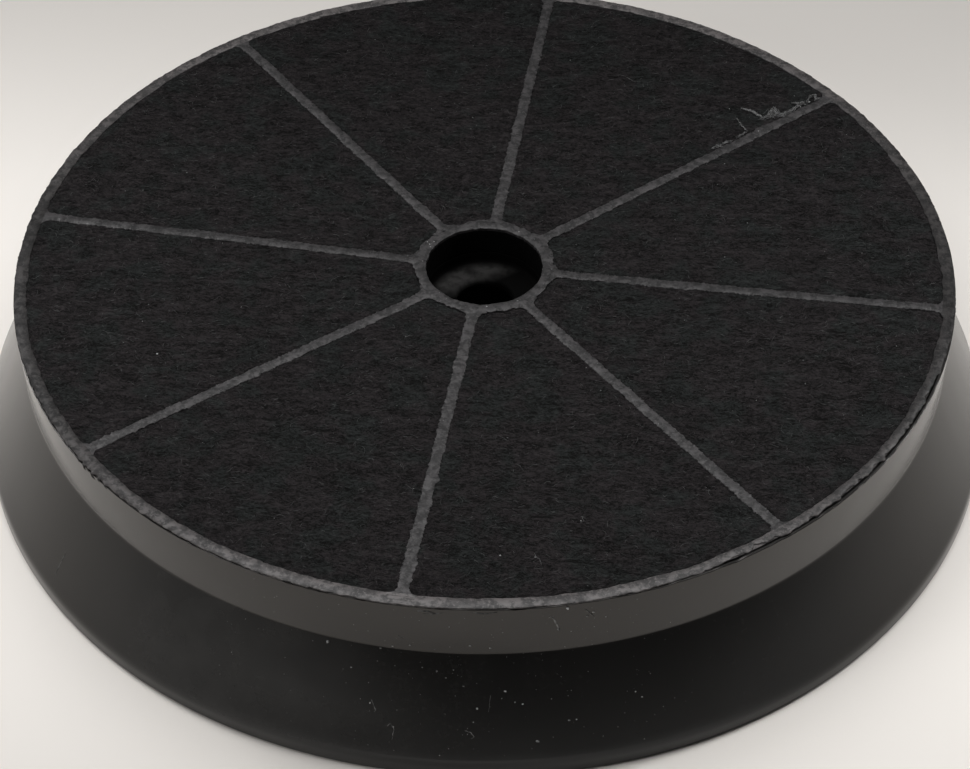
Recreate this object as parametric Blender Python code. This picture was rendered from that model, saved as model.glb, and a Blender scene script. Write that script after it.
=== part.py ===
"""Round carbon filter for a cooker hood, lying on its foot rim with the outlet face up.

Metres, +Z up. The origin is on the axis, in the plane of the foot rim.
"""

import math

import bmesh
import bpy
from mathutils import Matrix, Vector

# Outside form
HEIGHT = 0.0367
FACE_RADIUS = 0.0963
SKIRT_FLARE = 0.0090
CREASE_DROP = 0.0127
CREASE_INSET = 0.0006
FOOT_LIP_HEIGHT = 0.0035

# Walls of the housing
LIP_THICKNESS = 0.0006
SEAT_WIDTH = 0.0019
CHAMBER_WALL = 0.0018
SKIRT_WALL = 0.0021
DRAFT = math.radians(1.0)
FLOOR_RAISE = 0.0080
FLOOR_THICKNESS = 0.0020
CHAMBER_RIM_DROP = 0.0018

# Inlet lattice and the ribs that stiffen the housing
LATTICE_BAR = 0.0024
LATTICE_EDGE = 0.0034
LATTICE_COUNTS = (8, 16, 16, 16)
LATTICE_CORNER = 0.0010
RIB_THICKNESS = 0.0016
GUSSET_COUNT = 16
GUSSET_RECESS = 0.0010
WEB_COUNT = 8
WEB_REACH = 0.0250
WEB_RECESS = 0.0020

# Hub
HUB_BORE = 0.0120
COLLAR_WALL = 0.0010
COLLAR_DEPTH = 0.0063
COLLAR_SEAT_WALL = 0.0012
LEDGE_STEP = 0.0027
LEDGE_THICKNESS = 0.0020
LEDGE_HOLE = 0.0060
SOCKET_WALL = 0.0022
HUB_MOUTH = 0.0030
LUG_COUNT = 3
LUG_REACH = 0.0025
LUG_HEIGHT = 0.0020
LUG_INSET = 0.0006
LUG_SPAN = math.radians(40)
STOP_HEIGHT = 0.0040
STOP_SPAN = math.radians(9)
STOP_SETBACK = math.radians(1)

# Cover grille
COVER_THICKNESS = 0.0020
COVER_SINK = 0.0014
HUB_RING_STEP = 0.0002
RIM_RING_WIDTH = 0.0018
SPOKE_COUNT = 8
SPOKE_WIDTH = 0.0023
SPOKE_FILLET = 0.0016
SPOKE_SHOULDER = 0.0005

# Felts
FELT_THICKNESS = 0.0016
PAD_DROP = 0.0003
PAD_SHOULDER = 0.0010

# Fits and roundings
SEAT_GAP = 0.0003
EDGE_ROUND = 0.0005
FOOT_ROUND = 0.0006
FOOT_BLEND = 0.0045
ROOT_ROUND = 0.0006
ROLL = 0.3  # share of a shoulder's size at which its steep side turns over to its top
CUT_MARGIN = 0.0010

# Facets
RIM_SEGMENTS = 72
HUB_SEGMENTS = 32
FILLING_SEGMENTS = 48
WINDOW_OUTER_SEGMENTS = 8
WINDOW_INNER_SEGMENTS = 3
WINDOW_CORNER_SEGMENTS = 2
LATTICE_ARC_SEGMENTS = 3
LATTICE_CORNER_SEGMENTS = 1
SHARP_ANGLE = math.radians(35)

# Heights that follow from the sizes above
COVER_TOP = HEIGHT
COVER_UNDERSIDE = COVER_TOP - COVER_THICKNESS
SEAT_HEIGHT = COVER_UNDERSIDE - SEAT_GAP
CREASE_HEIGHT = HEIGHT - CREASE_DROP
FLOOR_TOP = FLOOR_RAISE + FLOOR_THICKNESS
COVER_FELT_BASE = SEAT_HEIGHT - FELT_THICKNESS
HUB_SEAT_HEIGHT = SEAT_HEIGHT - COVER_SINK
HUB_RING_TOP = COVER_TOP - COVER_SINK + HUB_RING_STEP
INLET_FELT_BASE = FLOOR_TOP + SEAT_GAP
INLET_FELT_TOP = INLET_FELT_BASE + FELT_THICKNESS
COLLAR_FOOT = HUB_RING_TOP - COLLAR_DEPTH
COLLAR_SHOULDER = COLLAR_FOOT - SEAT_GAP
LEDGE_TOP = COLLAR_FOOT - LEDGE_STEP
LEDGE_UNDERSIDE = LEDGE_TOP - LEDGE_THICKNESS

# Radii that follow from the sizes above
FOOT_RADIUS = FACE_RADIUS + SKIRT_FLARE
SEAT_RADIUS = FACE_RADIUS - LIP_THICKNESS
CHAMBER_RADIUS = SEAT_RADIUS - SEAT_WIDTH
CREASE_RADIUS = FACE_RADIUS - CREASE_INSET
COVER_RADIUS = SEAT_RADIUS - SEAT_GAP
RIM_RING_RADIUS = COVER_RADIUS - RIM_RING_WIDTH
COLLAR_RADIUS = HUB_BORE + COLLAR_WALL
COLLAR_SEAT_RADIUS = COLLAR_RADIUS + SEAT_GAP
HUB_RADIUS = COLLAR_SEAT_RADIUS + COLLAR_SEAT_WALL
SOCKET_RADIUS = HUB_RADIUS - SOCKET_WALL
HUB_WALL_MIDDLE = HUB_RADIUS - SOCKET_WALL / 2
HUB_RING_MIDDLE = (COLLAR_RADIUS + HUB_RADIUS) / 2
SINK_START = RIM_RING_RADIUS - SPOKE_FILLET

# Slopes of the flared skirt and of the moulded walls
SKIRT_SLOPE = (FOOT_RADIUS - CREASE_RADIUS) / (CREASE_HEIGHT - FOOT_LIP_HEIGHT)
SKIRT_WALL_ACROSS = SKIRT_WALL * math.hypot(1, SKIRT_SLOPE)
DRAFT_SLOPE = math.tan(DRAFT)


def cover_sink(radius):
    """How far the cover lies below its rim at a radius: it slopes down in a straight line to the hub."""
    share = (SINK_START - radius) / (SINK_START - HUB_RING_MIDDLE)
    return COVER_SINK * min(max(share, 0), 1)


def chamber_radius(height):
    """Inner radius of the carbon chamber, which narrows downwards by its draft."""
    return CHAMBER_RADIUS - DRAFT_SLOPE * (SEAT_HEIGHT - height)


def chamber_outside(height):
    return chamber_radius(height) + CHAMBER_WALL


def skirt_inside(height):
    """Inner radius of the flared skirt, one wall in from its outer cone."""
    return CREASE_RADIUS + SKIRT_SLOPE * (CREASE_HEIGHT - height) - SKIRT_WALL_ACROSS


def gap_root_height():
    """Height at which the skirt's inner cone runs into the outside of the chamber wall."""
    return (skirt_inside(0) - chamber_outside(0)) / (SKIRT_SLOPE + DRAFT_SLOPE)


def black_finish(name, shade, roughness):
    """Black moulded plastic, felt or charcoal, told apart by shade and roughness."""
    material = bpy.data.materials.new(name)
    material.use_nodes = True
    shader = material.node_tree.nodes["Principled BSDF"]
    shader.inputs["Base Color"].default_value = (shade, shade, shade, 1)
    shader.inputs["Roughness"].default_value = roughness
    shader.inputs["Metallic"].default_value = 0
    return material


def rounded(corners, steps=2):
    """Closed outline through corners (across, up, radius), with an arc at each corner that has a radius."""
    outline = []
    for i, (across, up, radius) in enumerate(corners):
        corner = Vector((across, up))
        if radius == 0:
            outline.append(corner)
            continue
        back = Vector(corners[i - 1][:2]) - corner
        on = Vector(corners[(i + 1) % len(corners)][:2]) - corner
        half = back.angle(on) / 2
        reach = min(radius / math.tan(half), back.length * 0.45, on.length * 0.45)
        back.normalize()
        on.normalize()
        centre = corner + (back + on).normalized() * reach / math.cos(half)
        first = corner + back * reach - centre
        last = corner + on * reach - centre
        turn = math.atan2(first.x * last.y - first.y * last.x, first.dot(last))
        for step in range(steps + 1):
            outline.append(centre + Matrix.Rotation(turn * step / steps, 2) @ first)
    return outline


def add_object(name, mesh, material=None):
    mesh.shade_smooth()
    mesh.set_sharp_from_angle(angle=SHARP_ANGLE)
    piece = bpy.data.objects.new(name, mesh)
    if material:
        mesh.materials.append(material)
    bpy.context.scene.collection.objects.link(piece)
    return piece


def revolve(name, corners, segments, material=None, steps=2):
    """Turns a closed section, given as corners (radius, height, rounding), about the axis."""
    build = bmesh.new()
    ring = [build.verts.new((p.x, 0, p.y)) for p in rounded(corners, steps)]
    edges = [build.edges.new((ring[i - 1], ring[i])) for i in range(len(ring))]
    bmesh.ops.spin(
        build,
        geom=ring + edges,
        axis=(0, 0, 1),
        angle=2 * math.pi,
        steps=segments,
        use_merge=True,
    )
    bmesh.ops.recalc_face_normals(build, faces=build.faces)
    mesh = bpy.data.meshes.new(name)
    build.to_mesh(mesh)
    build.free()
    return add_object(name, mesh, material)


def lofted(name, stacks):
    """Closed bodies in one object, each skinned over a stack of outlines of equal length."""
    build = bmesh.new()
    for stack in stacks:
        rings = [[build.verts.new(point) for point in outline] for outline in stack]
        for low, high in zip(rings, rings[1:]):
            for i in range(len(low)):
                build.faces.new((low[i - 1], low[i], high[i], high[i - 1]))
        ends = [build.faces.new(reversed(rings[0])), build.faces.new(rings[-1])]
        bmesh.ops.triangulate(build, faces=ends)
    bmesh.ops.recalc_face_normals(build, faces=build.faces)
    mesh = bpy.data.meshes.new(name)
    build.to_mesh(mesh)
    build.free()
    return add_object(name, mesh)


def combine(piece, tool, operation):
    """Cuts a tool out of a piece or joins it on, and hides the tool."""
    change = piece.modifiers.new(tool.name, "BOOLEAN")
    change.operation = operation
    change.solver = "EXACT"
    change.object = tool
    tool.hide_render = True
    tool.display_type = "WIRE"


def arc_about(centre, radius, first, last, steps):
    """Points on an arc about a centre, from one direction to another."""
    turns = [first + (last - first) * step / steps for step in range(steps + 1)]
    return [centre + Vector((math.cos(turn), math.sin(turn))) * radius for turn in turns]


def arc_between(first, last, steps):
    """Points strictly between two points on a circle about the axis."""
    turn = math.atan2(first.x * last.y - first.y * last.x, first.dot(last))
    return [Matrix.Rotation(turn * step / steps, 2) @ first for step in range(1, steps)]


def window_outline(inner, outer, bar, sector, corner, outer_steps, inner_steps, corner_steps):
    """Gap between two bars that run out from the axis, the first at angle 0 and the next at angle sector.

    It lies between two radii, half a bar width from each bar's middle line, with its four corners rounded.
    """
    offset = bar / 2 + corner
    inner_lean = math.asin(offset / (inner + corner))
    outer_lean = math.asin(offset / (outer - corner))
    inner_centre = Vector((math.cos(inner_lean), math.sin(inner_lean))) * (inner + corner)
    outer_centre = Vector((math.cos(outer_lean), math.sin(outer_lean))) * (outer - corner)
    side = arc_about(inner_centre, corner, math.pi + inner_lean, 1.5 * math.pi, corner_steps)
    side += arc_about(outer_centre, corner, -0.5 * math.pi, outer_lean, corner_steps)
    mirrored = [Matrix.Rotation(sector, 2) @ Vector((p.x, -p.y)) for p in reversed(side)]
    outer_arc = arc_between(side[-1], mirrored[0], outer_steps)
    inner_arc = arc_between(mirrored[-1], side[0], inner_steps)
    return side + outer_arc + mirrored + inner_arc


def placed(outline, height, angle):
    """Lifts a flat outline to a height and turns it about the axis."""
    turned = [Matrix.Rotation(angle, 2) @ point for point in outline]
    return [(point.x, point.y, height) for point in turned]


def sector_block(inner, outer, low, high, start, span, steps=3):
    """Stack of two outlines: a block bent round the axis."""
    angles = [start + span * step / steps for step in range(steps + 1)]
    outside = [Vector((math.cos(a), math.sin(a))) * outer for a in angles]
    inside = [Vector((math.cos(a), math.sin(a))) * inner for a in reversed(angles)]
    return [placed(outside + inside, height, 0) for height in (low, high)]


def radial_rib(section, angle):
    """Stack of two outlines: a flat rib with a section in the plane of the axis, at an angle about it."""
    out = Vector((math.cos(angle), math.sin(angle), 0))
    aside = Vector((-math.sin(angle), math.cos(angle), 0)) * RIB_THICKNESS / 2
    up = Vector((0, 0, 1))
    return [[out * r + up * z + aside * side for r, z in section] for side in (-1, 1)]


def cover_window(grow, height, index):
    """Outline of one window of the cover, grown or shrunk all round, sunk towards the hub as the cover is."""
    sector = 2 * math.pi / SPOKE_COUNT
    outline = window_outline(
        HUB_RADIUS - grow,
        min(RIM_RING_RADIUS, CHAMBER_RADIUS) + grow,
        SPOKE_WIDTH - 2 * grow,
        sector,
        max(SPOKE_FILLET + grow, SEAT_GAP),
        WINDOW_OUTER_SEGMENTS,
        WINDOW_INNER_SEGMENTS,
        WINDOW_CORNER_SEGMENTS,
    )
    level = placed(outline, height, index * sector)
    return [(x, y, z - cover_sink(math.hypot(x, y))) for x, y, z in level]


def lattice_cutter():
    """Windows of the inlet lattice, in rings between the hub and the chamber wall."""
    inner = HUB_RADIUS + LATTICE_EDGE
    outer = chamber_radius(FLOOR_RAISE) - LATTICE_EDGE
    depth = (outer - inner + LATTICE_BAR) / len(LATTICE_COUNTS) - LATTICE_BAR
    low, high = FLOOR_RAISE - CUT_MARGIN, FLOOR_TOP + CUT_MARGIN
    stacks = []
    for ring, count in enumerate(LATTICE_COUNTS):
        start = inner + ring * (depth + LATTICE_BAR)
        sector = 2 * math.pi / count
        outline = window_outline(
            start,
            start + depth,
            LATTICE_BAR,
            sector,
            LATTICE_CORNER,
            LATTICE_ARC_SEGMENTS,
            LATTICE_ARC_SEGMENTS,
            LATTICE_CORNER_SEGMENTS,
        )
        for index in range(count):
            stacks.append([placed(outline, height, index * sector) for height in (low, high)])
    return lofted("lattice_cutter", stacks)


def shell_section():
    """Corners of the housing's section outside the hub: wall, skirt, chamber wall and floor."""
    root = gap_root_height()
    foot_inside = FOOT_RADIUS - SKIRT_WALL
    knee = (skirt_inside(0) - foot_inside) / SKIRT_SLOPE
    rim_foot = FLOOR_RAISE - CHAMBER_RIM_DROP
    rim_inside = chamber_outside(rim_foot) - CHAMBER_WALL - DRAFT_SLOPE * CHAMBER_RIM_DROP
    return [
        (SEAT_RADIUS, COVER_TOP, 0),
        (FACE_RADIUS, COVER_TOP, LIP_THICKNESS / 2),
        (CREASE_RADIUS, CREASE_HEIGHT, 0),
        (FOOT_RADIUS, FOOT_LIP_HEIGHT, FOOT_BLEND),
        (FOOT_RADIUS, 0, FOOT_ROUND),
        (foot_inside, 0, FOOT_ROUND),
        (foot_inside, knee, 0),
        (chamber_outside(root), root, ROOT_ROUND),
        (chamber_outside(rim_foot), rim_foot, 0),
        (rim_inside, rim_foot, 0),
        (rim_inside, FLOOR_RAISE, 0),
        (HUB_WALL_MIDDLE, FLOOR_RAISE, 0),
        (HUB_WALL_MIDDLE, FLOOR_TOP, 0),
        (chamber_radius(FLOOR_TOP), FLOOR_TOP, 0),
        (CHAMBER_RADIUS, SEAT_HEIGHT, 0),
        (SEAT_RADIUS, SEAT_HEIGHT, 0),
    ]


def hub_section():
    """Corners of the hub tube: collar seat, ledge with its hole, and the socket below."""
    return [
        (HUB_RADIUS, HUB_SEAT_HEIGHT, 0),
        (HUB_RADIUS, HUB_MOUTH, EDGE_ROUND),
        (SOCKET_RADIUS, HUB_MOUTH, EDGE_ROUND),
        (SOCKET_RADIUS, LEDGE_UNDERSIDE, 0),
        (LEDGE_HOLE, LEDGE_UNDERSIDE, 0),
        (LEDGE_HOLE, LEDGE_TOP, EDGE_ROUND),
        (HUB_BORE, LEDGE_TOP, EDGE_ROUND),
        (HUB_BORE, COLLAR_SHOULDER, 0),
        (COLLAR_SEAT_RADIUS, COLLAR_SHOULDER, 0),
        (COLLAR_SEAT_RADIUS, HUB_SEAT_HEIGHT, 0),
    ]


def gussets():
    """Ribs across the gap between the chamber wall and the skirt."""
    root = gap_root_height()
    foot = FLOOR_RAISE + GUSSET_RECESS
    section = [
        (chamber_outside(foot) - CHAMBER_WALL / 2, foot),
        (skirt_inside(foot) + SKIRT_WALL / 2, foot),
        (chamber_outside(root), root + SKIRT_WALL / 2),
    ]
    step = 2 * math.pi / GUSSET_COUNT
    return lofted("gussets", [radial_rib(section, (i + 0.5) * step) for i in range(GUSSET_COUNT)])


def hub_webs():
    """Sloping webs under the floor that brace the hub tube."""
    middle = FLOOR_RAISE + FLOOR_THICKNESS / 2
    section = [
        (HUB_WALL_MIDDLE, HUB_MOUTH + WEB_RECESS),
        (HUB_RADIUS + WEB_REACH, middle),
        (HUB_WALL_MIDDLE, middle),
    ]
    step = 2 * math.pi / WEB_COUNT
    return lofted("hub_webs", [radial_rib(section, i * step) for i in range(WEB_COUNT)])


def bayonet_blocks(name, low, high, start, span):
    """Equal blocks round the inside of the socket, rooted in the hub tube."""
    inner = SOCKET_RADIUS - LUG_REACH
    starts = [start + 2 * math.pi * i / LUG_COUNT for i in range(LUG_COUNT)]
    return lofted(name, [sector_block(inner, HUB_WALL_MIDDLE, low, high, turn, span) for turn in starts])


def make_housing():
    plastic = black_finish("housing_plastic", 0.020, 0.38)
    housing = revolve("housing", shell_section(), RIM_SEGMENTS, plastic)
    combine(housing, revolve("hub_tube", hub_section(), HUB_SEGMENTS), "UNION")
    combine(housing, lattice_cutter(), "DIFFERENCE")
    combine(housing, gussets(), "UNION")
    combine(housing, hub_webs(), "UNION")
    lug_foot = HUB_MOUTH + EDGE_ROUND + LUG_INSET
    lug_top = lug_foot + LUG_HEIGHT
    combine(housing, bayonet_blocks("lugs", lug_foot, lug_top, 0, LUG_SPAN), "UNION")
    stop_foot = lug_foot + LUG_HEIGHT / 2
    stop_start = LUG_SPAN - STOP_SPAN - STOP_SETBACK
    stops = bayonet_blocks("lug_stops", stop_foot, lug_top + STOP_HEIGHT, stop_start, STOP_SPAN)
    combine(housing, stops, "UNION")


def make_cover_grille():
    """Rim ring, spokes and hub ring with a collar that plugs into the hub tube."""
    disc = [
        (COVER_RADIUS, COVER_TOP, EDGE_ROUND),
        (COVER_RADIUS, COVER_UNDERSIDE, 0),
        (SINK_START, COVER_UNDERSIDE, 0),
        (HUB_RING_MIDDLE, COVER_UNDERSIDE - COVER_SINK, 0),
        (HUB_RING_MIDDLE, COVER_TOP - COVER_SINK, 0),
        (SINK_START, COVER_TOP, 0),
    ]
    ring_foot = COVER_UNDERSIDE - COVER_SINK + HUB_RING_STEP
    hub_ring = [
        (HUB_RADIUS, HUB_RING_TOP, EDGE_ROUND),
        (HUB_RADIUS, ring_foot, 0),
        (COLLAR_RADIUS, ring_foot, 0),
        (COLLAR_RADIUS, COLLAR_FOOT, 0),
        (HUB_BORE, COLLAR_FOOT, 0),
        (HUB_BORE, HUB_RING_TOP, EDGE_ROUND),
    ]
    levels = (
        (COVER_UNDERSIDE - CUT_MARGIN, 0),
        (COVER_TOP - SPOKE_SHOULDER, 0),
        (COVER_TOP - SPOKE_SHOULDER * ROLL, SPOKE_SHOULDER * ROLL),
        (COVER_TOP + SPOKE_SHOULDER * ROLL, SPOKE_SHOULDER * 3 * ROLL),
    )
    stacks = [[cover_window(grow, z, i) for z, grow in levels] for i in range(SPOKE_COUNT)]
    cover = revolve("cover_grille", disc, RIM_SEGMENTS, black_finish("cover_plastic", 0.045, 0.55))
    combine(cover, lofted("window_cutter", stacks), "DIFFERENCE")
    combine(cover, revolve("hub_ring", hub_ring, HUB_SEGMENTS), "UNION")


def make_cover_felt():
    """Felt disc under the cover, with a pad that puffs up through each window."""
    outer = CHAMBER_RADIUS - SEAT_GAP - DRAFT_SLOPE * FELT_THICKNESS
    inner = HUB_RADIUS + SEAT_GAP
    disc = [
        (outer, SEAT_HEIGHT, 0),
        (outer, COVER_FELT_BASE, 0),
        (inner, COVER_FELT_BASE - cover_sink(inner), 0),
        (inner, SEAT_HEIGHT - cover_sink(inner), 0),
    ]
    top = COVER_TOP - PAD_DROP
    levels = (
        (SEAT_HEIGHT - FELT_THICKNESS / 2, SEAT_GAP),
        (top - PAD_SHOULDER, SEAT_GAP),
        (top - PAD_SHOULDER * ROLL, SEAT_GAP + PAD_SHOULDER * ROLL),
        (top, SEAT_GAP + PAD_SHOULDER * 2),
    )
    stacks = [[cover_window(-inset, z, i) for z, inset in levels] for i in range(SPOKE_COUNT)]
    felt = revolve("cover_felt", disc, RIM_SEGMENTS, black_finish("cover_felt_fibre", 0.012, 0.95))
    combine(felt, lofted("felt_pads", stacks), "UNION")


def make_inlet_felt():
    """Felt disc that keeps the granules off the lattice floor."""
    outer = chamber_radius(FLOOR_TOP) - SEAT_GAP
    inner = HUB_RADIUS + SEAT_GAP
    disc = [
        (outer, INLET_FELT_TOP, 0),
        (outer, INLET_FELT_BASE, 0),
        (inner, INLET_FELT_BASE, 0),
        (inner, INLET_FELT_TOP, 0),
    ]
    revolve("inlet_felt", disc, FILLING_SEGMENTS, black_finish("inlet_felt_fibre", 0.012, 0.95))


def make_carbon_bed():
    """Charcoal granules that fill the chamber between the two felts."""
    low, high = INLET_FELT_TOP + SEAT_GAP, COVER_FELT_BASE - SEAT_GAP
    inner = HUB_RADIUS + SEAT_GAP
    bed = [
        (chamber_radius(high) - SEAT_GAP, high, 0),
        (chamber_radius(low) - SEAT_GAP, low, 0),
        (inner, low, 0),
        (inner, high - cover_sink(inner), 0),
    ]
    revolve("carbon_bed", bed, FILLING_SEGMENTS, black_finish("charcoal", 0.010, 0.80))


def main():
    for old in list(bpy.data.objects):
        bpy.data.objects.remove(old)
    make_housing()
    make_cover_grille()
    make_cover_felt()
    make_inlet_felt()
    make_carbon_bed()


main()
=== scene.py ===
"""Looks of the round cooker hood carbon filter: fine meshes, felt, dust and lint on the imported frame.

Metres, +Z up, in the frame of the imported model. Spokes stand at whole steps of an eighth turn from +X.
"""

import math

import bmesh
import bpy
import numpy as np
from mathutils import Matrix, Vector


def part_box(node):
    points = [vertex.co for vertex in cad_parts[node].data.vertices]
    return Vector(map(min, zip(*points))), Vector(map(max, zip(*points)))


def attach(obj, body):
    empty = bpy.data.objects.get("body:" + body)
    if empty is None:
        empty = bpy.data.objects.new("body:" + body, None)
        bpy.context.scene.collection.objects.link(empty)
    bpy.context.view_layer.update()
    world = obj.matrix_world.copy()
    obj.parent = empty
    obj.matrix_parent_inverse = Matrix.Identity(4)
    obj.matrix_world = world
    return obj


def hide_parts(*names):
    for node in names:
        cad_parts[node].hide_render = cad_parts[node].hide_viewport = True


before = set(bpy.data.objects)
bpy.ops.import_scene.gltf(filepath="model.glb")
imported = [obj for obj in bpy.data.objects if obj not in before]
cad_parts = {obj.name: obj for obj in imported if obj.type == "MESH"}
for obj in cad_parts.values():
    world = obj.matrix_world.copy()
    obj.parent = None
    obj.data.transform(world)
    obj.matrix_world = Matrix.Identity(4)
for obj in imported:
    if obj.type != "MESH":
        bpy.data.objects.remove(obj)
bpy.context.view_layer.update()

# Camera of the photograph: 970 by 769 pixels, seen from beside the spoke at -90 degrees
CAMERA_AZIMUTH = math.radians(-80.612)
CAMERA_ELEVATION = 0.70767
CAMERA_DISTANCE = 0.56277
CAMERA_TILT = -0.04541
CAMERA_ROLL = -0.00509
CAMERA_LENS = 101.42
AIM_HEIGHT = 0.0369
SENSOR_WIDTH = 36.0
CAMERA_CLIP = 0.01

# Sizes read from the frame
housing_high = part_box("housing")[1]
inlet_low, inlet_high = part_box("inlet_felt")
FOOT_RADIUS = housing_high.x
COVER_TOP = housing_high.z
COVER_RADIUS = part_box("cover_grille")[1].x
FELT_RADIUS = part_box("cover_felt")[1].x

# Sizes of the housing, as in the solid model
FACE_RADIUS = 0.0963
CREASE_RADIUS = 0.0957
CREASE_HEIGHT = COVER_TOP - 0.0127
FOOT_LIP_HEIGHT = 0.0035
SEAT_RADIUS = 0.0957
CHAMBER_RADIUS = 0.0938
CHAMBER_WALL = 0.0018
SKIRT_WALL = 0.0021
DRAFT_SLOPE = math.tan(math.radians(1))
FLOOR_RAISE = 0.0080
FLOOR_TOP = 0.0100
RIM_FOOT = 0.0062
COVER_THICKNESS = 0.0020
COVER_UNDERSIDE = COVER_TOP - COVER_THICKNESS
SEAT_GAP = 0.0003
SEAT_HEIGHT = COVER_UNDERSIDE - SEAT_GAP
COVER_SINK = 0.0014
HUB_RING_RISE = 0.0002
HUB_SEAT_HEIGHT = SEAT_HEIGHT - COVER_SINK
HUB_RING_TOP = COVER_TOP - COVER_SINK + HUB_RING_RISE
HUB_BORE = 0.0120
COLLAR_RADIUS = 0.0130
COLLAR_SEAT_RADIUS = 0.0133
HUB_RADIUS = 0.0145
SOCKET_RADIUS = 0.0123
HUB_WALL_MIDDLE = 0.0134
HUB_MOUTH = 0.0030
COLLAR_FOOT = HUB_RING_TOP - 0.0063
LEDGE_TOP = COLLAR_FOOT - 0.0027
LEDGE_UNDERSIDE = LEDGE_TOP - 0.0020
LEDGE_HOLE = 0.0060
# Height above which the hub's hole is painted dark and dull as shade
BORE_SHADE_LOW = LEDGE_TOP - 0.0012
# Side of the hub's ledge that gets a painted highlight, and middle of a pale haze low on the skirt, partly
# dust and partly painted sheen
LIT_LEDGE_SIDE = (-0.62, 0.78, 0.0)
HAZE_AND_SHEEN_CENTRE = (-0.030, -0.096, 0.013)
LATTICE_BAR = 0.0024
LATTICE_EDGE = 0.0034
LATTICE_CORNER = 0.001
LATTICE_COUNTS = (8, 16, 16, 16)
CORNER_STEPS = 4
ARC_STEPS = 10
# Height over the floor's underside and growth of the window there, for its rounded lower edge
WINDOW_LEVELS = ((-0.001, 0.0004), (0.0, 0.0003), (0.0004, 0.0), (0.0030, 0.0))
RIB_THICKNESS = 0.0016
GUSSET_COUNT = 16
GUSSET_FOOT = 0.0090
WEB_REACH = 0.0250
WEB_FOOT = 0.0050
LUG_SPAN = math.radians(40)
LUG_INNER = 0.0098
LUG_FOOT = 0.0041
LUG_TOP = 0.0061
STOP_TOP = 0.0101
STOP_SPAN = math.radians(9)
STOP_START = math.radians(30)

# Sizes of the cover
SPOKE_COUNT = 8
SPOKE_WIDTH = 0.0023
SPOKE_FILLET = 0.0016
SPOKE_INTO_RING = 0.0006
SPOKE_STATIONS = 540
RIM_STATIONS = 1600
HUB_STATIONS = 320
SPOKE_RISE = 0.0002
SPOKE_RISE_LENGTH = 0.0035
RIM_RING_RADIUS = 0.0936
SINK_START = RIM_RING_RADIUS - SPOKE_FILLET
HUB_RING_MIDDLE = (COLLAR_RADIUS + HUB_RADIUS) / 2
FLANGE_RADIUS = 0.09617
FLANGE_THICKNESS = 0.00022
BAR_CROWN = 0.00005
# Rounded shoulder of a bar: inset from its edge, and depth under its top
SHOULDER = ((0.0, FLANGE_THICKNESS), (0.00003, 0.00010), (0.00013, 0.00003))
LIP_TOP = COVER_TOP - 0.00031
# Where the housing's lip lies lower under the cover: middle and half span in degrees, depth
SAG_TURN = 215.0
SAG_SPAN = 60.0
SAG_DEPTH = 0.00025
# Where the cover's flange is missing and the crevice shows: turn, half span and ramp in degrees, depth
BARE_TURN = -33.0
BARE_SPAN = 30.0
BARE_RAMP = 12.0
BARE_DEPTH = 0.00066
# Burrs of flash on the seam: turn and length in degrees, reach in millimetres
BURRS = (
    (-134.2, 0.35, 0.30), (-133.1, 0.22, 0.50), (-132.3, 0.15, 0.35), (-131.2, 0.25, 0.60),
    (-130.1, 0.18, 0.35), (-128.8, 0.30, 0.40), (-141.5, 0.30, 0.25), (-146.0, 0.25, 0.25),
    (-122.5, 0.30, 0.22), (-107.0, 0.25, 0.20), (-100.4, 0.20, 0.22), (-64.0, 0.25, 0.20),
)
# Lumps of flash beside a spoke: spoke, side, then distance from the axis, length and reach in millimetres
SPOKE_LUMPS = (
    (6, 1, 63.4, 0.7, 0.75), (6, 1, 70.0, 0.6, 0.35), (6, 0, 78.0, 0.5, 0.30), (6, 1, 85.6, 0.8, 0.40),
    (6, 0, 50.0, 0.6, 0.25), (1, 0, 70.0, 1.2, 0.30), (1, 1, 74.5, 1.0, 0.35), (5, 1, 56.0, 0.6, 0.30),
    (7, 0, 66.0, 0.7, 0.30),
)

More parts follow.
